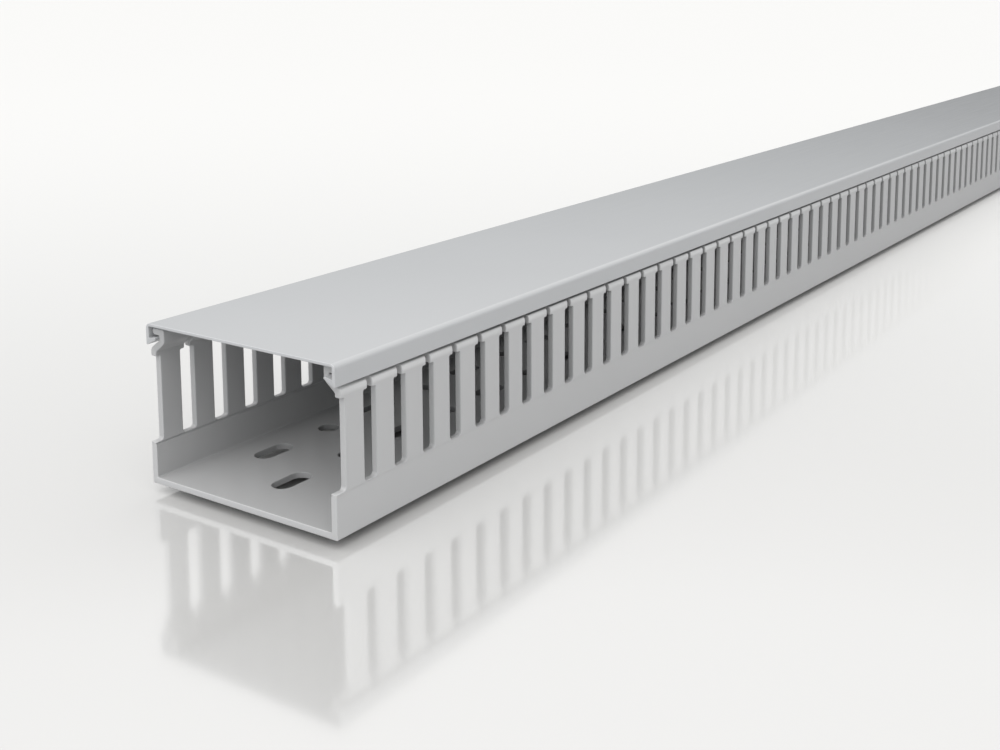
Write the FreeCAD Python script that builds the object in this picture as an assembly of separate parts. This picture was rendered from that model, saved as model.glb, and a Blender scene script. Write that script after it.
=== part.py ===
import FreeCAD, Part
import math
import os

# Slotted wire duct: an extruded base channel with toothed walls, and the cover that clips over it.
# Millimetres. X is the width, Y the length and Z up. The origin is under the middle of the underside.

# Overall sizes, the height with the cover on
LENGTH = 1000.0
WIDTH = 75.0
HEIGHT = 50.0

# Base channel: floor, walls, and the neck and outward lip that the cover catches on
WALL = 2.1
FLOOR = 2.0
SHOULDER_ROUND = 1.0
NECK_INSET = 3.9
NECK_SLOPE = 2.35
NECK_HEIGHT = 1.45
LIP_THICKNESS = 2.1
LIP_SETBACK = 1.2
INNER_SHOULDER_DROP = 0.6
INNER_NECK_DROP = 0.75

# Slots that divide the walls into teeth with wider heads
SLOT_PITCH = 13.0
SLOT_WIDTH = 5.2
SLOT_BOTTOM = 13.2
SLOT_CORNER = 1.1
HEAD_DEPTH = 1.95
HEAD_GAP = 1.9
FIRST_SLOT = 1.5
LEFT_ROW_LEAD = 1.25

# Score line inside each wall, just under the slots, where teeth are snapped off
SCORE_DEPTH = 0.35
SCORE_HEIGHT = 0.5
SCORE_DROP = 0.3

# Holes in the floor, in a middle row and two side rows: elongated mounting slots, with a round hole halfway
# between each two. The first slot of each row and every sixth from it have true round ends, for the fixing
# screws. The ends of the others and the round holes are a few flats.
MOUNT_PITCH = 51.0
MOUNT_LENGTH = 14.2
MOUNT_WIDTH = 6.8
MOUNT_ROW = 22.0
FIRST_MOUNT = 21.0
SIDE_ROW_LAG = 14.4
FIXING_EVERY = 6
MOUNT_END_FLATS = 3

# Cover: a plate with two flanges, each turned in as a barb under the lip
COVER_PLATE = 0.95
COVER_OVERHANG = 0.4
COVER_ROUND = 1.0
LIP_CLEARANCE = 0.6
FLANGE = 1.1
FLANGE_ROUND = 0.3
HOOK_CLEARANCE = 0.25
HOOK_THICKNESS = 0.85
HOOK_RISE = 2.05
HOOK_ROOT_DROP = 0.6
HOOK_ROUND = 0.25

# How far a cutter reaches past what it cuts
PAST = 1.0

NEAR_END = -LENGTH / 2
OUTER = WIDTH / 2
INNER = OUTER - WALL
NECK_OUTER = OUTER - NECK_INSET
NECK_INNER = NECK_OUTER - WALL
LIP_END = OUTER - LIP_SETBACK
MOUNT_RADIUS = MOUNT_WIDTH / 2

# Heights, from the cover's top down to the underside of the teeth's heads
LIP_TOP = HEIGHT - COVER_PLATE - LIP_CLEARANCE
LIP_UNDERSIDE = LIP_TOP - LIP_THICKNESS
NECK_FOOT = LIP_UNDERSIDE - NECK_HEIGHT
SHOULDER_TOP = NECK_FOOT - NECK_SLOPE
WALL_TOP = SHOULDER_TOP - SHOULDER_ROUND
HEAD_UNDERSIDE = WALL_TOP - HEAD_DEPTH


def rounded_face(corners):
    """The flat face with these corners, each a point and its rounding radius, where 0 is a sharp corner."""
    edges = []
    starts = []
    ends = []
    for index, (point, radius) in enumerate(corners):
        before = (corners[index - 1][0] - point).normalize()
        after = (corners[(index + 1) % len(corners)][0] - point).normalize()
        if radius == 0:
            starts.append(point)
            ends.append(point)
            continue
        half_angle = before.getAngle(after) / 2
        reach = radius / math.tan(half_angle)
        start = point + before * reach
        end = point + after * reach
        bisector = (before + after).normalize()
        middle = point + bisector * (radius / math.sin(half_angle) - radius)
        edges.append(Part.Arc(start, middle, end).toShape())
        starts.append(start)
        ends.append(end)
    for index, end in enumerate(ends):
        following = starts[(index + 1) % len(starts)]
        if end.distanceToPoint(following) > 1e-6:
            edges.append(Part.LineSegment(end, following).toShape())
    return Part.Face(Part.Wire(Part.__sortEdges__(edges)))


def extruded_section(right_half):
    """A bar of the duct's length. Its section is symmetrical: right_half goes round the right side, as x, z, radius."""
    left_half = [(-x, z, radius) for x, z, radius in reversed(right_half)]
    corners = [(FreeCAD.Vector(x, NEAR_END, z), radius) for x, z, radius in right_half + left_half]
    return rounded_face(corners).extrude(FreeCAD.Vector(0, LENGTH, 0))


def slot_cutter(middle, side):
    """One wall slot: wide between the teeth, narrow between their heads and open at the top. side is 1 or -1."""
    wide = SLOT_WIDTH / 2
    narrow = HEAD_GAP / 2
    top = LIP_TOP + PAST
    right_half = [
        (wide - SLOT_CORNER, SLOT_BOTTOM),
        (wide, SLOT_BOTTOM + SLOT_CORNER),
        (wide, HEAD_UNDERSIDE),
        (narrow, HEAD_UNDERSIDE),
        (narrow, top),
    ]
    left_half = [(-y, z) for y, z in reversed(right_half)]
    start = (NECK_INNER - PAST) * side
    end = (OUTER + PAST) * side
    corners = [FreeCAD.Vector(start, middle + y, z) for y, z in right_half + left_half]
    face = Part.Face(Part.makePolygon(corners + corners[:1]))
    return face.extrude(FreeCAD.Vector(end - start, 0, 0))


def wall_slots():
    """Both rows of wall slots. The left row starts a little before the right one."""
    cutters = []
    for index in range(math.ceil(LENGTH / SLOT_PITCH) + 1):
        middle = NEAR_END + FIRST_SLOT + index * SLOT_PITCH
        cutters.append(slot_cutter(middle, 1))
        cutters.append(slot_cutter(middle - LEFT_ROW_LEAD, -1))
    return cutters


def mount_rim(x, y, angle, reach):
    """A point round a hole's centre at x, y, below the floor, this angle and reach from that centre."""
    return FreeCAD.Vector(x + reach * math.cos(angle), y + reach * math.sin(angle), -PAST)


def slot_centres(y):
    """The ends' own centres in a mounting slot that is centred at y, each with the angle where its end starts."""
    shift = MOUNT_LENGTH / 2 - MOUNT_RADIUS
    return [(y + shift, 0.0), (y - shift, math.pi)]


def fixing_outline(x, y):
    """The outline of a mounting slot with true round ends."""
    rims = []
    for centre, start in slot_centres(y):
        rims.append([mount_rim(x, centre, start + turn, MOUNT_RADIUS) for turn in (0, math.pi / 2, math.pi)])
    edges = []
    for rim, following in (rims, rims[::-1]):
        edges.append(Part.Arc(*rim).toShape())
        edges.append(Part.LineSegment(rim[-1], following[0]).toShape())
    return Part.Wire(edges)


def flats_outline(x, centres):
    """The outline of a hole whose half-round ends, at these centres and starting angles, are a few flats each."""
    turn = math.pi / (MOUNT_END_FLATS + 1)
    reach = MOUNT_RADIUS / math.cos(turn / 2)
    corners = []
    for centre, start in centres:
        for number in range(MOUNT_END_FLATS + 1):
            corners.append(mount_rim(x, centre, start + turn * (number + 0.5), reach))
    return Part.makePolygon(corners + corners[:1])


def plain_outline(x, y):
    """The outline of a mounting slot of the same length and width, its round ends made of a few flats."""
    return flats_outline(x, slot_centres(y))


def round_outline(x, y):
    """The outline of a round hole as wide as the mounting slots."""
    return flats_outline(x, [(y, 0.0), (y, math.pi)])


def floor_cutter(outline, x, y):
    return Part.Face(outline(x, y)).extrude(FreeCAD.Vector(0, 0, FLOOR + 2 * PAST))


def floor_holes():
    """Three rows of mounting slots and round holes. Only whole holes are punched."""
    cutters = []
    first_side = FIRST_MOUNT + SIDE_ROW_LAG
    for x, first in ((0.0, FIRST_MOUNT), (MOUNT_ROW, first_side), (-MOUNT_ROW, first_side)):
        slots = math.ceil((LENGTH - MOUNT_LENGTH / 2 - first) / MOUNT_PITCH)
        for index in range(slots):
            outline = fixing_outline if index % FIXING_EVERY == 0 else plain_outline
            cutters.append(floor_cutter(outline, x, NEAR_END + first + index * MOUNT_PITCH))
        first_round = first + MOUNT_PITCH / 2
        rounds = math.ceil((LENGTH - MOUNT_RADIUS - first_round) / MOUNT_PITCH)
        for index in range(rounds):
            cutters.append(floor_cutter(round_outline, x, NEAR_END + first_round + index * MOUNT_PITCH))
    return cutters


def base_channel():
    """The base: one extrusion, then both rows of wall slots and the floor's holes cut through it."""
    score_high = SLOT_BOTTOM - SCORE_DROP
    score_low = score_high - SCORE_HEIGHT
    bar = extruded_section([
        (OUTER, 0.0, 0),
        (OUTER, WALL_TOP, 0),
        (OUTER - SHOULDER_ROUND, SHOULDER_TOP, 0),
        (NECK_OUTER, NECK_FOOT, 0),
        (NECK_OUTER, LIP_UNDERSIDE, 0),
        (LIP_END, LIP_UNDERSIDE, 0),
        (LIP_END, LIP_TOP, 0),
        (NECK_INNER, LIP_TOP, 0),
        (NECK_INNER, NECK_FOOT - INNER_NECK_DROP, 0),
        (INNER, WALL_TOP - INNER_SHOULDER_DROP, 0),
        (INNER, score_high, 0),
        (INNER + SCORE_DEPTH, (score_high + score_low) / 2, 0),
        (INNER, score_low, 0),
        (INNER, FLOOR, 0),
    ])
    cut = bar.cut(wall_slots() + floor_holes())
    # A head whose tooth lies past the end cut hangs on nothing and falls away with the offcut.
    return max(cut.Solids, key=lambda solid: solid.Volume)


def cover():
    """The cover: one extrusion, whose barbs reach in under the lips and stop short of the necks."""
    outer = OUTER + COVER_OVERHANG
    inner = outer - FLANGE
    tip = NECK_OUTER + HOOK_CLEARANCE
    tip_top = LIP_UNDERSIDE - HOOK_CLEARANCE
    tip_bottom = tip_top - HOOK_THICKNESS
    return extruded_section([
        (inner, HEIGHT - COVER_PLATE, FLANGE_ROUND),
        (inner, tip_top - HOOK_ROOT_DROP, 0),
        (tip, tip_top, HOOK_ROUND),
        (tip, tip_bottom, HOOK_ROUND),
        (outer, tip_bottom - HOOK_RISE, FLANGE_ROUND),
        (outer, HEIGHT, COVER_ROUND),
    ])


os.makedirs("parts", exist_ok=True)
base_channel().exportStep("parts/base_channel.step")
cover().exportStep("parts/cover.step")
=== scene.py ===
from collections import namedtuple
import math

import bpy
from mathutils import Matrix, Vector


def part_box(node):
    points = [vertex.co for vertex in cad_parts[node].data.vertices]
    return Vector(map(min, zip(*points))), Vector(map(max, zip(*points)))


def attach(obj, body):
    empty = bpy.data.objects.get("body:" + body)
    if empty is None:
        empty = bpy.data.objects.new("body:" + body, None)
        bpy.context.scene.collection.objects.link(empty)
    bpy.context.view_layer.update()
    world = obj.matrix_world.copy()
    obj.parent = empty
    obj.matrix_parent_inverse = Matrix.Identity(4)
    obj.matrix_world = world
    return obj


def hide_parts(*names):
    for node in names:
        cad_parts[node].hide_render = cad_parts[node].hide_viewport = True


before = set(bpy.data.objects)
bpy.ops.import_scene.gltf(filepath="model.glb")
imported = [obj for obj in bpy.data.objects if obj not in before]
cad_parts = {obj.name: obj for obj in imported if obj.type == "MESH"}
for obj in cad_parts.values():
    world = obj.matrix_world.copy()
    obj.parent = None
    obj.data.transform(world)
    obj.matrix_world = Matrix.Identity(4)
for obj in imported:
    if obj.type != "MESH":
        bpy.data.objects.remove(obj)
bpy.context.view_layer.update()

# A slotted wire duct: a grey PVC base channel with toothed walls, and the cover that clips over it.
# Sizes are in millimetres and become metres when a mesh is made. X is the width, Y the length and Z up.
# A section is drawn as two lines of points, its outer and its inner face, each point as x and z.
MM = 0.001

# Places that lie this near each other count as the same
NEAR = 0.01

base_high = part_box("base_channel")[1] / MM
cover_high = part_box("cover")[1] / MM

# Base channel
END = base_high.y
OUTER = base_high.x
LIP_TOP = base_high.z
WALL = 2.1
INNER = OUTER - WALL
FLOOR = 2.0
CORNER_ROUND = 0.35
CORNER_FILLET = 0.5
SHOULDER = 42.1
SHOULDER_ROUND = 1.8
INNER_SHOULDER = 40.95
INNER_SHOULDER_ROUND = 1.2
NECK_OUTER = OUTER - 3.9
NECK_INNER = NECK_OUTER - WALL
LIP_UNDERSIDE = LIP_TOP - 2.1
NECK_FOOT = LIP_UNDERSIDE - 1.45
NECK_ROUND = 1.2
INNER_NECK = NECK_FOOT - 0.75
INNER_NECK_ROUND = 1.6
LIP_END = OUTER - 1.2
LIP_FILLET = 0.3
LIP_INNER_ROUND = 0.6
LIP_LOWER_ROUND = 0.9
LIP_UPPER_ROUND = 0.3

# Slots in the walls
SLOT_PITCH = 13.0
SLOT_HALF = 2.6
SLOT_BOTTOM = 13.2
SLOT_CORNER = 1.1
HEAD_UNDERSIDE = 39.6
HEAD_HALF_GAP = 0.95
HEAD_FILLET = 0.45
HEAD_ROUND = 0.5
FIRST_SLOT = 1.5
LEFT_ROW_LEAD = 1.25
BEND_START = HEAD_UNDERSIDE + 0.6

# Score line inside each wall, under the slots
SCORE_TOP = SLOT_BOTTOM - 0.3
SCORE_BOTTOM = SCORE_TOP - 0.5
SCORE_MIDDLE = (SCORE_TOP + SCORE_BOTTOM) / 2
SCORE_DEPTH = 0.35

# Floor holes: elongated mounting slots with a round hole halfway between each two
HOLE_PITCH = 25.5
HOLE_RADIUS = 3.4
MOUNT_HALF_LENGTH = 7.1
MOUNT_ROW = 22.0
FIRST_MOUNT = 21.0
SIDE_ROW_LAG = 14.4

# Cover
COVER_TOP = cover_high.z
COVER_OUTER = cover_high.x
COVER_UNDERSIDE = COVER_TOP - 0.95
COVER_ROUND = 1.6
COVER_FILLET = 0.3
FLANGE_INNER = COVER_OUTER - 1.1
FLANGE_ROUND = 0.3
HOOK_TIP = NECK_OUTER + 0.25
HOOK_TOP = LIP_UNDERSIDE - 0.25
HOOK_LOW = HOOK_TOP - 0.85
HOOK_ROOT = HOOK_TOP - 0.6
FLANGE_BOTTOM = HOOK_LOW - 2.05
HOOK_FILLET = 0.2
HOOK_ROUND = 0.25

# Radius of the fine rounding on cut edges
WALL_EDGE = 0.35
HOLE_EDGE = 0.25
END_EDGE = 0.3
COVER_EDGE = 0.2

# Steps that turn each quarter or less of the roundings
FINE = 3
MEDIUM = 4
SLOT_STEPS = 5
BROAD = 6
HOLE_STEPS = 12

# Pale edges, from 0 to 1: the cut edges of the slots get a little, partly wear and partly painted
# highlight, and the shoulders the most, as a painted highlight
CUT_WEAR_AND_HIGHLIGHT = 0.4
SHOULDER_HIGHLIGHT = 1.0
SHOULDER_HIGHLIGHT_MIDDLE = SHOULDER - 0.45
SHOULDER_HIGHLIGHT_REACH = 0.5

# Painted shade: the share of its colour that a surface loses where less light falls, most in the hollows.
# It grows from the duct's ends inwards, until it is DEEP_SHARE times as strong at this depth.
END_CUT_SHADE = 0.06
SLOT_SIDE_SHADE = 0.16
HOLE_SIDE_SHADE = 0.25
UNDERSIDE_SHADE = 0.2
NECK_SHADE = 0.32
LIP_SHADE = 0.1
INSIDE_SHADE = 0.14
UPPER_INSIDE_SHADE = 0.24
UPPER_FROM = 25.0
UPPER_TO = 45.0
DEPTH = 90.0
DEEP_SHARE = 2.2

# The painted shade of the necks and lips stays this far from the open ends, and above the shoulders
OPEN_END = 4.0
CLEAR_SHOULDER = 0.35

# PVC of the base and of the cover, which is a little smoother. The pale colour goes on worn edges and
# painted highlights
BASE_COLOUR = (0.60, 0.60, 0.60)
BASE_WORN_AND_HIGHLIGHT = (0.80, 0.80, 0.80)
BASE_ROUGHNESS = 0.35
BASE_RELIEF = 0.25
COVER_COLOUR = (0.58, 0.587, 0.595)
COVER_WORN_AND_HIGHLIGHT = (0.80, 0.805, 0.81)
COVER_ROUGHNESS = 0.15
COVER_RELIEF = 0.20
PVC_IOR = 1.5
TONE_SPREAD = 0.01
ROUGHNESS_SPREAD = 0.04
RELIEF_HEIGHT = 0.00002

# Streaks along the length, slow changes of tone, and grain, each with its scale and detail
STREAKS = (900.0, 3.0)
STREAK_STRETCH = 0.02
CLOUDS = (14.0, 4.0)
CLOUD_LOW = 0.3
CLOUD_HIGH = 0.7
GRAIN = (3500.0, 2.0)

# Studio floor. Its gloss gives way to a paler sheen as it is seen at a lower angle, from STEEP to FLAT,
# where 0 is straight down and 1 along the floor. Light that the duct scatters or mirrors finds it duller.
FLOOR_HALF_WIDTH = 8.0
FLOOR_HEIGHT = -0.003
FLOOR_COLOUR = (0.825, 0.818, 0.803)
FLOOR_SHEEN = (0.925, 0.92, 0.905)
FLOOR_STEEP = 0.56
FLOOR_FLAT = 0.92
FLOOR_GLOSS = 0.42
FLOOR_FLAT_GLOSS = 0.12
FLOOR_ROUGHNESS = 0.10
FLOOR_BOUNCE = (0.62, 0.62, 0.62)
FLOOR_MIRRORED = (0.35, 0.35, 0.35)

# Studio light: a sky that brightens with height, from a cool tint to white, and two broad soft lights.
# Each light has its direction, how narrow it is and its strength.
SKY_FROM = 0.06
SKY_TO = 0.45
SKY_LOW = 0.02
SKY_HIGH = 0.77
LOW_TINT = (0.90, 1.0, 1.07)
TINT_TO = 0.4
WHITE = (1.0, 1.0, 1.0)
FRONT_LIGHT = ((0.1, -0.9, 0.4), 2.0, 0.5)
HIGH_LIGHT = ((0.12, -0.5, 0.85), 4.0, 1.2)

# Camera
LENS = 46.28
SHIFT_X = -0.0398
SHIFT_Y = -0.2152
CLIP_START = 0.01
VIEWPOINT = (0.26714, -0.74673, 0.15339)
LOOK_DOWN = 8.22
LOOK_LEFT = 33.51


# Mesh

# The lines of a cut edge that is rounded at both faces of the sheet. Each is an inset along the face
# and a depth under it, both as shares of the rounding radius, and whether that face is the inner one.
SLANT = 1 - math.sqrt(0.5)
RINGS = [
    (1, 0, False),
    (SLANT, SLANT, False),
    (0, 1, False),
    (0, 1, True),
    (SLANT, SLANT, True),
    (1, 0, True),
]

# How much the faces between these lines lean outwards
RING_LEANS = (0.2, 0.2, 0.0, -0.2, -0.2)


class Skin:
    """The points and faces of one mesh. A point is kept once, with its wear and painted highlight, and
    its painted shade.
    """

    def __init__(self):
        self.points = []
        self.wear_and_highlight = []
        self.shade = []
        self.faces = []
        self.known = {}

    def point(self, place):
        key = tuple(round(value, 4) for value in place)
        if key not in self.known:
            self.known[key] = len(self.points)
            self.points.append(key)
            self.wear_and_highlight.append(0.0)
            self.shade.append(0.0)
        return self.known[key]

    def mark_wear_and_highlight(self, line, amount):
        """Marks a line of points, such as the ridge of a cut edge, as paler by this much, for wear and
        painted highlight.
        """
        for place in line:
            self.wear_and_highlight[self.point(place)] = amount

    def darken(self, line, amount):
        """Marks a line of points, as on the sides of a slot, as darker by this much painted shade."""
        for place in line:
            self.shade[self.point(place)] = amount

    def face(self, corners, out):
        """Adds a face that looks along out. Corners that fall together are dropped."""
        numbers = []
        for corner in corners:
            number = self.point(corner)
            if number not in numbers:
                numbers.append(number)
        if len(numbers) < 3:
            return
        normal = Vector((0, 0, 0))
        first = Vector(self.points[numbers[0]])
        for a, b in zip(numbers[1:], numbers[2:]):
            normal += (Vector(self.points[a]) - first).cross(Vector(self.points[b]) - first)
        if normal.dot(out) < 0:
            numbers.reverse()
        self.faces.append(numbers)

    def strip(self, first, second, outs):
        """Adds the faces between two lines of as many points. outs has the way that each looks."""
        for index, out in enumerate(outs):
            self.face((first[index], first[index + 1], second[index + 1], second[index]), out)

    def cut_edge(self, lines, outs, outward, wear_and_highlight):
        """Adds the rounded faces of a cut through a sheet, from its outer to its inner face, along the
        ring lines. outs has the way that the cut looks at each place, and outward the way that the
        sheet's outer face looks. Its two ridges are made paler by this much, partly wear and partly
        painted highlight."""
        for lean, first, second in zip(RING_LEANS, lines, lines[1:]):
            self.strip(first, second, [out + ahead * lean for out, ahead in zip(outs, outward)])
        self.mark_wear_and_highlight(lines[1], wear_and_highlight)
        self.mark_wear_and_highlight(lines[-2], wear_and_highlight)

    def attribute(self, mesh, name, values):
        mesh.attributes.new(name, "FLOAT", "POINT").data.foreach_set("value", values)

    def make(self, name, material, shade):
        """The mesh object. shade gives a place's painted shade, and a point's own may be more."""
        mesh = bpy.data.meshes.new(name)
        mesh.from_pydata([Vector(point) * MM for point in self.points], [], self.faces)
        self.attribute(mesh, "wear_and_highlight", self.wear_and_highlight)
        shades = [max(shade(*point), own) for point, own in zip(self.points, self.shade)]
        self.attribute(mesh, "shade", shades)
        mesh.polygons.foreach_set("use_smooth", [True] * len(mesh.polygons))
        mesh.materials.append(material)
        mesh.update()
        piece = bpy.data.objects.new(name, mesh)
        bpy.context.scene.collection.objects.link(piece)
        shading = piece.modifiers.new("flat faces stay flat", "WEIGHTED_NORMAL")
        shading.mode = "FACE_AREA"
        return piece


def rounded(corners):
    """An open line of points through corners, each x, z, radius and how many steps turn it."""
    points = []
    for index, (x, z, radius, steps) in enumerate(corners):
        corner = Vector((x, z))
        if radius == 0:
            points += [corner] * (steps + 1)
            continue
        before = (Vector(corners[index - 1][:2]) - corner).normalized()
        after = (Vector(corners[index + 1][:2]) - corner).normalized()
        half_angle = before.angle(after) / 2
        centre = corner + (before + after).normalized() * radius / math.sin(half_angle)
        start = corner + before * radius / math.tan(half_angle) - centre
        turn = math.pi - 2 * half_angle
        if before.cross(after) > 0:
            turn = -turn
        for step in range(steps + 1):
            angle = turn * step / steps
            across = start.x * math.cos(angle) - start.y * math.sin(angle)
            up = start.x * math.sin(angle) + start.y * math.cos(angle)
            points.append(centre + Vector((across, up)))
    return points


def turned(centre, radius, start, end, steps):
    """Points of an arc, from one angle to another in degrees, each with its direction from centre."""
    points = []
    for step in range(steps + 1):
        angle = math.radians(start + (end - start) * step / steps)
        ahead = Vector((math.cos(angle), math.sin(angle)))
        points.append((Vector(centre) + ahead * radius, ahead))
    return points


def under(outer, inner, depth, from_inner):
    """The point of the section this deep under its outer face, or under its inner face."""
    thickness = (inner - outer).length
    if thickness < NEAR:
        return outer
    share = min(depth / thickness, 0.5)
    return outer.lerp(inner, 1 - share if from_inner else share)


def mirrored(ladder):
    """The whole section from its right half, which starts at the middle."""
    flip = [(Vector((-outer.x, outer.y)), Vector((-inner.x, inner.y))) for outer, inner in ladder]
    return flip[::-1] + ladder[1:]


def sweep(skin, ladder, edge, gap=0.0):
    """A thick sheet along the whole length. ladder has pairs of points of its outer and inner faces,
    and edge is the rounding of its end cuts. Long faces within gap of the middle are left out."""
    outs = []
    for (outer, inner), (next_outer, next_inner) in zip(ladder, ladder[1:]):
        across = outer + next_outer - inner - next_inner
        outs.append(Vector((across.x, 0, across.y)).normalized())
    for end in (-1, 1):
        lines = []
        for inset, depth, from_inner in RINGS:
            section = [under(outer, inner, depth * edge, from_inner) for outer, inner in ladder]
            lines.append([(point.x, end * (END - inset * edge), point.y) for point in section])
        skin.cut_edge(lines, [Vector((0, end, 0))] * len(outs), outs, CUT_WEAR_AND_HIGHLIGHT)
        # Painted shade on the end cuts
        for line in lines[1:-1]:
            skin.darken(line, END_CUT_SHADE)
    reach = END - edge
    for side, face in ((1, 0), (-1, 1)):
        for index, out in enumerate(outs):
            a, b = ladder[index][face], ladder[index + 1][face]
            if max(abs(a.x), abs(b.x)) <= gap:
                continue
            near = ((a.x, -reach, a.y), (a.x, reach, a.y))
            far = ((b.x, reach, b.y), (b.x, -reach, b.y))
            skin.face(near + far, out * side)


# Teeth

# A place along a tooth's cut edge: the outer and inner point of the wall, how far along the duct it
# lies, the way into the wall and the radius of the fine rounding
Station = namedtuple("Station", "outer inner y into edge")


def half_slot():
    """The cut edge of half a wall slot, from the middle of its bottom up to where the head's bends
    start. Each place has its reach from the slot's middle, its height, and the way into the wall."""
    edge = [(Vector((0, SLOT_BOTTOM)), Vector((0, -1)))]
    edge += turned((SLOT_HALF - SLOT_CORNER, SLOT_BOTTOM + SLOT_CORNER), SLOT_CORNER, -90, 0, SLOT_STEPS)
    edge += turned((SLOT_HALF - HEAD_FILLET, HEAD_UNDERSIDE - HEAD_FILLET), HEAD_FILLET, 0, 90, FINE)
    head = turned((HEAD_HALF_GAP + HEAD_ROUND, HEAD_UNDERSIDE + HEAD_ROUND), HEAD_ROUND, 270, 180, FINE)
    return edge + [(place, -ahead) for place, ahead in head]


def bends():
    """Pairs of outer and inner points up the head: shoulder, neck, and the lip with its rounded end."""
    lip_middle = (LIP_UNDERSIDE + LIP_LOWER_ROUND + LIP_TOP - LIP_UPPER_ROUND) / 2
    outer = rounded([
        (OUTER, BEND_START, 0, 0),
        (OUTER, SHOULDER, SHOULDER_ROUND, BROAD),
        (NECK_OUTER, NECK_FOOT, NECK_ROUND, FINE),
        (NECK_OUTER, LIP_UNDERSIDE, LIP_FILLET, FINE),
        (LIP_END, LIP_UNDERSIDE, LIP_LOWER_ROUND, MEDIUM),
        (LIP_END, lip_middle, 0, 0),
    ])
    inner = rounded([
        (INNER, BEND_START, 0, 0),
        (INNER, INNER_SHOULDER, INNER_SHOULDER_ROUND, BROAD),
        (NECK_INNER, INNER_NECK, INNER_NECK_ROUND, FINE),
        (NECK_INNER, LIP_TOP, LIP_INNER_ROUND, FINE),
        (LIP_END, LIP_TOP, LIP_UPPER_ROUND, MEDIUM),
        (LIP_END, lip_middle, 0, 0),
    ])
    return list(zip(outer, inner))


def tooth_edge(slot_middle, way, head):
    """One cut edge of a tooth, from under its slot up round the head. way is 1 where the tooth lies
    past the slot and -1 where it lies before it. The end cut takes what lies past the end."""
    stations = []
    past_end = abs(slot_middle) + SLOT_PITCH / 2 > END
    outline = [(place, ahead, None) for place, ahead in half_slot()]
    outline += [(Vector((HEAD_HALF_GAP, 0)), Vector((1, 0)), bend) for bend in head]
    for number, (place, ahead, bend) in enumerate(outline):
        y = slot_middle + way * place.x
        into = Vector((0, way * ahead.x, ahead.y))
        if past_end and (number == 0 or abs(y) > END):
            y = -way * END
            into = Vector((0, way, 0 if number else ahead.y))
        outer, inner = bend or (Vector((OUTER, place.y)), Vector((INNER, place.y)))
        stations.append(Station(outer, inner, y, into, WALL_EDGE))
    if past_end:
        foot = (Vector((OUTER, SCORE_TOP)), Vector((INNER, SCORE_TOP)))
        stations.insert(0, Station(*foot, -way * END, Vector((0, way, 0)), END_EDGE))
    return stations


def ring_line(stations, ring, side):
    """The points of one line of a rounded cut edge. side is 1 on the right wall and -1 on the left."""
    inset, depth, from_inner = ring
    line = []
    for outer, inner, y, into, edge in stations:
        point = under(outer, inner, depth * edge, from_inner)
        line.append((side * point.x, y + into.y * inset * edge, point.y + into.z * inset * edge))
    return line


def face_looks(stations, side):
    """The way that the wall's outer face looks between each two stations."""
    looks = []
    for here, following in zip(stations, stations[1:]):
        across = here.outer - here.inner + following.outer - following.inner
        looks.append(Vector((side * across.x, 0, across.y)))
    return looks


def tooth_cut(skin, stations, side):
    """The cut along one edge of a tooth. Gives its lines on the wall's outer and inner face."""
    lines = [ring_line(stations, ring, side) for ring in RINGS]
    outs = [-(here.into + following.into).normalized() for here, following in zip(stations, stations[1:])]
    outward = [look.normalized() for look in face_looks(stations, side)]
    skin.cut_edge(lines, outs, outward, CUT_WEAR_AND_HIGHLIGHT)
    # Painted shade on the sides of the slots, but not on the end cuts
    within = [number for number, station in enumerate(stations) if abs(station.y) < END - NEAR]
    for line in lines[1:-1]:
        skin.darken([line[number] for number in within], SLOT_SIDE_SHADE)
    return lines[0], lines[-1]


def tooth(skin, before, after, side, head):
    """One tooth with its head, between the slots whose middles are before and after."""
    left_edge = tooth_edge(before, 1, head)
    right_edge = tooth_edge(after, -1, head)
    left_lines = tooth_cut(skin, left_edge, side)
    right_lines = tooth_cut(skin, right_edge, side)
    length = len(half_slot()) + len(head)
    looks = face_looks(left_edge[-length:], side)
    for left, right, sign in zip(left_lines, right_lines, (1, -1)):
        left_foot = left[0] if len(left) > length else (*left[0][:2], SCORE_TOP)
        right_foot = right[0] if len(right) > length else (*right[0][:2], SCORE_TOP)
        left, right = left[-length:], right[-length:]
        corners = [left_foot, left[0], left[1], right[1], right[0], right_foot]
        skin.face(corners, Vector((side * sign, 0, 0)))
        for index in range(1, length - 1):
            corners = [left[index], right[index], right[index + 1], left[index + 1]]
            skin.face(corners, looks[index] * sign)
        # Painted highlight along the middle of the shoulder's rounding
        if sign == 1:
            for pair in zip(left, right):
                if abs(pair[0][2] - SHOULDER_HIGHLIGHT_MIDDLE) < SHOULDER_HIGHLIGHT_REACH:
                    skin.mark_wear_and_highlight(pair, SHOULDER_HIGHLIGHT)


# Floor with its holes

def hole_rim(x, y, straight):
    """The rim of a floor hole, each place with the way into the floor. straight is half the length
    of its straight sides."""
    rim = turned((x, y + straight), HOLE_RADIUS, 0, 180, HOLE_STEPS)
    return rim + turned((x, y - straight), HOLE_RADIUS, 180, 360, HOLE_STEPS)


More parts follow.
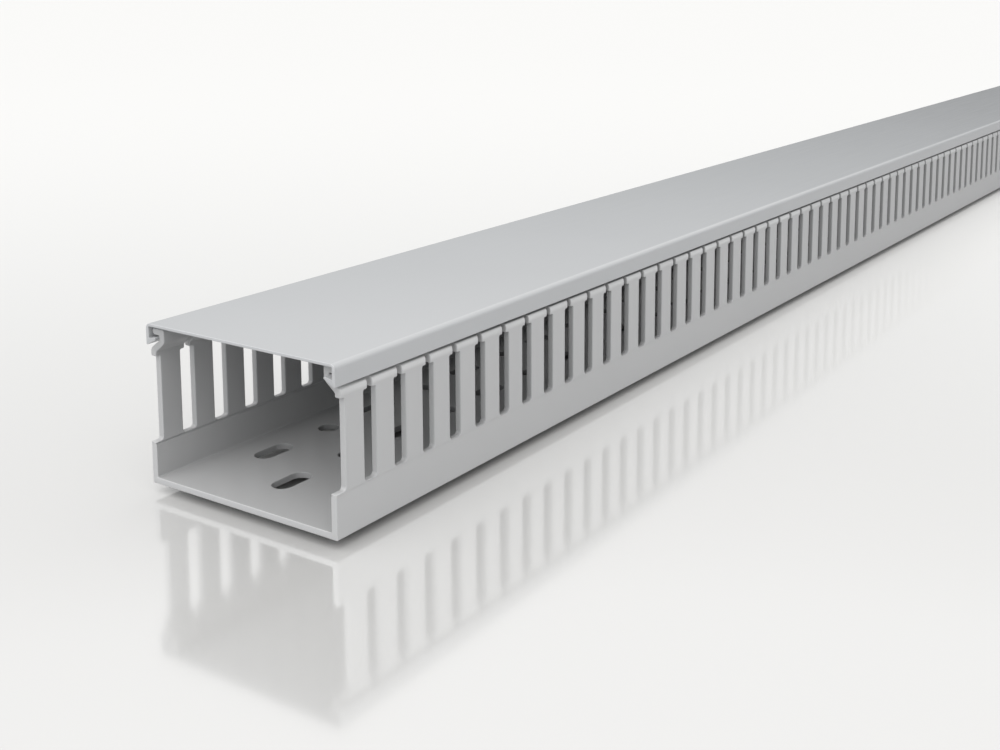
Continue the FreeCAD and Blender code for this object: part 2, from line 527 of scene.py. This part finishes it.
def floor_hole(skin, x, y, straight, low, high, start, end):
    """A patch of the floor, from low to high and from start to end, with one hole in it."""
    rim = hole_rim(x, y, straight)
    looks = [-(a[1] + b[1]).normalized().to_3d() for a, b in zip(rim, rim[1:] + rim[:1])]
    lines = []
    for inset, depth, from_top in RINGS:
        z = FLOOR - depth * HOLE_EDGE if from_top else depth * HOLE_EDGE
        line = [(*(place + into * inset * HOLE_EDGE), z) for place, into in rim]
        lines.append(line + line[:1])
    skin.cut_edge(lines, looks, [Vector((0, 0, -1))] * len(looks), 0.0)
    # Painted shade on the sides of the hole
    for line in lines[1:-1]:
        skin.darken(line, HOLE_SIDE_SHADE)
    top = len(rim) // 4
    bottom = top + len(rim) // 2
    for line, up in ((lines[0], -1), (lines[-1], 1)):
        z = line[0][2]
        left = line[top:bottom + 1]
        right = line[bottom:-1] + line[:top + 1]
        corners = [(x, end, z), (low, end, z), (low, start, z), (x, start, z)]
        skin.face(corners + left[::-1], Vector((0, 0, up)))
        corners = [(x, start, z), (high, start, z), (high, end, z), (x, end, z)]
        skin.face(corners + right[::-1], Vector((0, 0, up)))


def floor_plain(skin, low, high, start, end):
    """A plain stretch of the floor, above and below."""
    for z, up in ((0.0, -1), (FLOOR, 1)):
        corners = [(low, start, z), (high, start, z), (high, end, z), (low, end, z)]
        skin.face(corners, Vector((0, 0, up)))


def floor_row(skin, x, first, low, high):
    """The floor from low to high across, with one row of mounting slots and round holes along it. Only
    whole holes are punched."""
    reach = END - END_EDGE
    middle = first - END
    start = -reach
    number = 0
    while True:
        straight = 0.0 if number % 2 else MOUNT_HALF_LENGTH - HOLE_RADIUS
        if middle + straight + HOLE_RADIUS > END:
            break
        end = min(middle + HOLE_PITCH / 2, reach)
        floor_hole(skin, x, middle, straight, low, high, start, end)
        start = end
        middle += HOLE_PITCH
        number += 1
    if start < reach:
        floor_plain(skin, low, high, start, reach)


# The two pieces

def base_skin():
    """The whole base: the floor's edges and the lower walls as one sweep, then the teeth and the
    floor's rows."""
    skin = Skin()
    half = MOUNT_ROW / 2
    row_edge = MOUNT_ROW + half
    outer = rounded([
        (0, 0, 0, 0),
        (half, 0, 0, 0),
        (row_edge, 0, 0, 0),
        (OUTER, 0, CORNER_ROUND, MEDIUM),
        (OUTER, SCORE_BOTTOM, 0, 0),
        (OUTER, SCORE_MIDDLE, 0, 0),
        (OUTER, SCORE_TOP, 0, 0),
    ])
    inner = rounded([
        (0, FLOOR, 0, 0),
        (half, FLOOR, 0, 0),
        (row_edge, FLOOR, 0, 0),
        (INNER, FLOOR, CORNER_FILLET, MEDIUM),
        (INNER, SCORE_BOTTOM, 0, 0),
        (INNER + SCORE_DEPTH, SCORE_MIDDLE, 0, 0),
        (INNER, SCORE_TOP, 0, 0),
    ])
    sweep(skin, mirrored(list(zip(outer, inner))), END_EDGE, row_edge)
    head = bends()
    count = math.ceil((2 * END - FIRST_SLOT) / SLOT_PITCH)
    for side, lead in ((1, 0.0), (-1, LEFT_ROW_LEAD)):
        for number in range(count):
            before = FIRST_SLOT - lead - END + number * SLOT_PITCH
            tooth(skin, before, before + SLOT_PITCH, side, head)
    floor_row(skin, 0.0, FIRST_MOUNT, -half, half)
    for side in (-1, 1):
        low, high = sorted((side * half, side * row_edge))
        floor_row(skin, side * MOUNT_ROW, FIRST_MOUNT + SIDE_ROW_LAG, low, high)
    return skin


def cover_skin():
    """The cover: one sweep from barb to barb."""
    tip_middle = (HOOK_TOP + HOOK_LOW) / 2
    outer = rounded([
        (0, COVER_TOP, 0, 0),
        (COVER_OUTER, COVER_TOP, COVER_ROUND, BROAD),
        (COVER_OUTER, FLANGE_BOTTOM, FLANGE_ROUND, FINE),
        (HOOK_TIP, HOOK_LOW, HOOK_ROUND, FINE),
        (HOOK_TIP, tip_middle, 0, 0),
    ])
    inner = rounded([
        (0, COVER_UNDERSIDE, 0, 0),
        (FLANGE_INNER, COVER_UNDERSIDE, COVER_FILLET, BROAD),
        (FLANGE_INNER, HOOK_ROOT, HOOK_FILLET, FINE),
        (HOOK_TIP, HOOK_TOP, HOOK_ROUND, FINE),
        (HOOK_TIP, tip_middle, 0, 0),
    ])
    skin = Skin()
    sweep(skin, mirrored(list(zip(outer, inner))), COVER_EDGE)
    return skin


def base_shade(x, y, z):
    """How much painted shade the base gets at a place: its underside, the necks and lips under the cover,
    and the inside, where it grows towards the cover."""
    if z < NEAR:
        return UNDERSIDE_SHADE
    if abs(x) > NECK_OUTER - NEAR and z > SHOULDER + CLEAR_SHOULDER and abs(y) < END - OPEN_END:
        return LIP_SHADE if z > LIP_UNDERSIDE + NEAR else NECK_SHADE
    if abs(x) < INNER + NEAR and z > FLOOR - NEAR:
        share = min(max((z - UPPER_FROM) / (UPPER_TO - UPPER_FROM), 0.0), 1.0)
        return INSIDE_SHADE + (UPPER_INSIDE_SHADE - INSIDE_SHADE) * share
    return 0.0


def cover_shade(x, y, z):
    """How much painted shade the cover gets at a place: only its hollow side gets any."""
    if z < COVER_UNDERSIDE + NEAR and abs(x) < FLANGE_INNER + NEAR:
        return INSIDE_SHADE
    return 0.0


# Nodes

def new_node(tree, kind, inputs=None, **settings):
    """A node of this kind with these settings, and with values for some of its inputs."""
    node = tree.nodes.new(kind)
    for name, value in settings.items():
        setattr(node, name, value)
    for entry, value in (inputs or {}).items():
        node.inputs[entry].default_value = value
    return node


def link(tree, source, output, target, entry):
    tree.links.new(source.outputs[output], target.inputs[entry])


def noise(tree, place, output, pattern):
    scale, detail = pattern
    texture = new_node(tree, "ShaderNodeTexNoise", {"Scale": scale, "Detail": detail})
    link(tree, place, output, texture, "Vector")
    return texture


def ranged(tree, source, output, low, high, at_low, at_high, interpolation="LINEAR"):
    """Goes from at_low to at_high while the output goes from low to high."""
    ends = {"From Min": low, "From Max": high, "To Min": at_low, "To Max": at_high}
    node = new_node(tree, "ShaderNodeMapRange", ends, interpolation_type=interpolation)
    link(tree, source, output, node, "Value")
    return node


def ramp(tree, source, output, low, high, at_low, at_high):
    """As ranged, but easing in and out."""
    return ranged(tree, source, output, low, high, at_low, at_high, "SMOOTHSTEP")


def combined(tree, operation, source, output, other, other_output):
    node = new_node(tree, "ShaderNodeMath", operation=operation)
    link(tree, source, output, node, 0)
    link(tree, other, other_output, node, 1)
    return node


def colour_mix(tree, source, output, second, blend_type="MIX"):
    """A mix that reaches its second colour where the output is 1. Its input A is left open."""
    node = new_node(tree, "ShaderNodeMix", data_type="RGBA", blend_type=blend_type)
    node.inputs["B"].default_value = (*second, 1.0)
    link(tree, source, output, node, "Factor")
    return node


def plain_shader(tree, kind, colour):
    return new_node(tree, kind, {"Color": (*colour, 1)})


def blended(tree, source, output, first, second):
    """One shader that goes from the first to the second as the output goes from 0 to 1."""
    blend = tree.nodes.new("ShaderNodeMixShader")
    link(tree, source, output, blend, "Fac")
    tree.links.new(first.outputs[0], blend.inputs[1])
    tree.links.new(second.outputs[0], blend.inputs[2])
    return blend


# PVC

def pvc_colour(tree, place, colour, worn_and_highlight):
    """The grey with its slow changes of tone, paler at worn edges and painted highlights, and darker by
    painted shade in the hollows.
    """
    clouds = noise(tree, place, "Object", CLOUDS)
    tone = ranged(tree, clouds, "Fac", CLOUD_LOW, CLOUD_HIGH, 0.0, 1.0)
    tint = colour_mix(tree, tone, "Result", [value * (1 + TONE_SPREAD) for value in colour])
    tint.inputs["A"].default_value = (*(value * (1 - TONE_SPREAD) for value in colour), 1.0)

    wear_and_highlight = new_node(tree, "ShaderNodeAttribute", attribute_name="wear_and_highlight")
    edges = colour_mix(tree, combined(tree, "MULTIPLY", wear_and_highlight, "Fac", tone, "Result"), "Value", worn_and_highlight)
    link(tree, tint, "Result", edges, "A")

    # Painted shade, stronger deeper in from the ends
    along = tree.nodes.new("ShaderNodeSeparateXYZ")
    link(tree, place, "Object", along, "Vector")
    far = new_node(tree, "ShaderNodeMath", operation="ABSOLUTE")
    link(tree, along, "Y", far, 0)
    deep = ramp(tree, far, "Value", (END - DEPTH) * MM, END * MM, DEEP_SHARE, 1.0)
    hidden = new_node(tree, "ShaderNodeAttribute", attribute_name="shade")
    shade = combined(tree, "MULTIPLY", hidden, "Fac", deep, "Result")
    with_painted_shade = colour_mix(tree, shade, "Value", (0.0, 0.0, 0.0), "MULTIPLY")
    link(tree, edges, "Result", with_painted_shade, "A")
    return with_painted_shade


def pvc_material(name, colour, worn_and_highlight, roughness, relief_strength):
    """Satin extruded PVC: faint streaks along the length, a fine grain and pale edges, partly wear and
    partly painted highlight.
    """
    material = bpy.data.materials.new(name)
    material.use_nodes = True
    tree = material.node_tree
    shader = tree.nodes["Principled BSDF"]
    shader.inputs["IOR"].default_value = PVC_IOR
    place = tree.nodes.new("ShaderNodeTexCoord")
    link(tree, pvc_colour(tree, place, colour, worn_and_highlight), "Result", shader, "Base Color")

    stretch = new_node(tree, "ShaderNodeMapping", {"Scale": (1.0, STREAK_STRETCH, 1.0)})
    link(tree, place, "Object", stretch, "Vector")
    streaks = noise(tree, stretch, "Vector", STREAKS)
    smooth, rough = roughness - ROUGHNESS_SPREAD, roughness + ROUGHNESS_SPREAD
    link(tree, ranged(tree, streaks, "Fac", 0.0, 1.0, smooth, rough), "Result", shader, "Roughness")

    grain = noise(tree, place, "Object", GRAIN)
    relief = combined(tree, "ADD", streaks, "Fac", grain, "Fac")
    bump = new_node(tree, "ShaderNodeBump", {"Strength": relief_strength, "Distance": RELIEF_HEIGHT})
    link(tree, relief, "Value", bump, "Height")
    link(tree, bump, "Normal", shader, "Normal")
    return material


# Studio

def floor_material():
    """A pale floor with a soft gloss, which gives way to a paler sheen at low angles. Light that the
    duct scatters or mirrors finds it duller, so that little comes back from below."""
    material = bpy.data.materials.new("studio_floor")
    material.use_nodes = True
    tree = material.node_tree
    tree.nodes.clear()
    angle = new_node(tree, "ShaderNodeLayerWeight", {"Blend": 0.5})
    sheen = ramp(tree, angle, "Facing", FLOOR_STEEP, FLOOR_FLAT, 0.0, 1.0)
    gloss = ramp(tree, angle, "Facing", FLOOR_STEEP, FLOOR_FLAT, FLOOR_GLOSS, FLOOR_FLAT_GLOSS)
    steep = plain_shader(tree, "ShaderNodeBsdfDiffuse", FLOOR_COLOUR)
    flat = plain_shader(tree, "ShaderNodeBsdfDiffuse", FLOOR_SHEEN)
    polish = plain_shader(tree, "ShaderNodeBsdfGlossy", WHITE)
    polish.inputs["Roughness"].default_value = FLOOR_ROUGHNESS
    seen = blended(tree, gloss, "Result", blended(tree, sheen, "Result", steep, flat), polish)

    rays = tree.nodes.new("ShaderNodeLightPath")
    from_below = plain_shader(tree, "ShaderNodeBsdfDiffuse", FLOOR_BOUNCE)
    mirrored_back = plain_shader(tree, "ShaderNodeBsdfDiffuse", FLOOR_MIRRORED)
    scattered = blended(tree, rays, "Is Diffuse Ray", seen, from_below)
    whole = blended(tree, rays, "Is Glossy Ray", scattered, mirrored_back)
    output = tree.nodes.new("ShaderNodeOutputMaterial")
    link(tree, whole, "Shader", output, "Surface")
    return material


def studio_floor():
    half = FLOOR_HALF_WIDTH
    mesh = bpy.data.meshes.new("studio_floor")
    corners = [(-half, -half, 0), (half, -half, 0), (half, half, 0), (-half, half, 0)]
    mesh.from_pydata(corners, [], [(0, 1, 2, 3)])
    mesh.materials.append(floor_material())
    floor = bpy.data.objects.new("studio_floor", mesh)
    floor.location.z = FLOOR_HEIGHT
    bpy.context.scene.collection.objects.link(floor)


def soft_light(tree, place, light, total):
    """Adds a soft light to the sky's strength, brightest along its direction."""
    way, narrowness, strength = light
    ahead = new_node(tree, "ShaderNodeVectorMath", {1: Vector(way).normalized()}, operation="DOT_PRODUCT")
    link(tree, place, "Generated", ahead, 0)
    lobe = new_node(tree, "ShaderNodeMath", {1: 0.0}, operation="MAXIMUM")
    link(tree, ahead, "Value", lobe, 0)
    narrow = new_node(tree, "ShaderNodeMath", {1: narrowness}, operation="POWER")
    link(tree, lobe, "Value", narrow, 0)
    together = new_node(tree, "ShaderNodeMath", {1: strength}, operation="MULTIPLY_ADD")
    link(tree, narrow, "Value", together, 0)
    link(tree, *total, together, 2)
    return together, "Value"


def studio_world():
    """A soft sky, brightest high up in front of the duct, dim at the horizon and white to the camera."""
    world = bpy.data.worlds.new("studio")
    bpy.context.scene.world = world
    world.use_nodes = True
    tree = world.node_tree
    tree.nodes.clear()
    place = tree.nodes.new("ShaderNodeTexCoord")
    parts = tree.nodes.new("ShaderNodeSeparateXYZ")
    link(tree, place, "Generated", parts, "Vector")
    strength = (ranged(tree, parts, "Z", SKY_FROM, SKY_TO, SKY_LOW, SKY_HIGH), "Result")
    for light in (FRONT_LIGHT, HIGH_LIGHT):
        strength = soft_light(tree, place, light, strength)
    tint = colour_mix(tree, ramp(tree, parts, "Z", 0.0, TINT_TO, 0.0, 1.0), "Result", WHITE)
    tint.inputs["A"].default_value = (*LOW_TINT, 1)
    sky = tree.nodes.new("ShaderNodeBackground")
    link(tree, tint, "Result", sky, "Color")
    link(tree, *strength, sky, "Strength")
    rays = tree.nodes.new("ShaderNodeLightPath")
    white = plain_shader(tree, "ShaderNodeBackground", WHITE)
    output = tree.nodes.new("ShaderNodeOutputWorld")
    link(tree, blended(tree, rays, "Is Camera Ray", sky, white), "Shader", output, "Surface")


def camera():
    """The photograph's viewpoint: a normal lens, low beside the open end, looking a little down."""
    lens = bpy.data.cameras.new("camera")
    lens.lens = LENS
    lens.shift_x = SHIFT_X
    lens.shift_y = SHIFT_Y
    lens.clip_start = CLIP_START
    view = bpy.data.objects.new("camera", lens)
    view.location = VIEWPOINT
    view.rotation_euler = (math.radians(90 - LOOK_DOWN), 0, math.radians(LOOK_LEFT))
    bpy.context.scene.collection.objects.link(view)
    bpy.context.scene.camera = view


camera()
studio_world()
studio_floor()

base_pvc = pvc_material("base_pvc", BASE_COLOUR, BASE_WORN_AND_HIGHLIGHT, BASE_ROUGHNESS, BASE_RELIEF)
base = base_skin().make("wire_duct_base", base_pvc, base_shade)
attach(base, "base")
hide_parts("base_channel")

cover_pvc = pvc_material("cover_pvc", COVER_COLOUR, COVER_WORN_AND_HIGHLIGHT, COVER_ROUGHNESS, COVER_RELIEF)
lid = cover_skin().make("wire_duct_cover", cover_pvc, cover_shade)
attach(lid, "cover")
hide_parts("cover")

bpy.context.scene.view_settings.view_transform = "Standard"
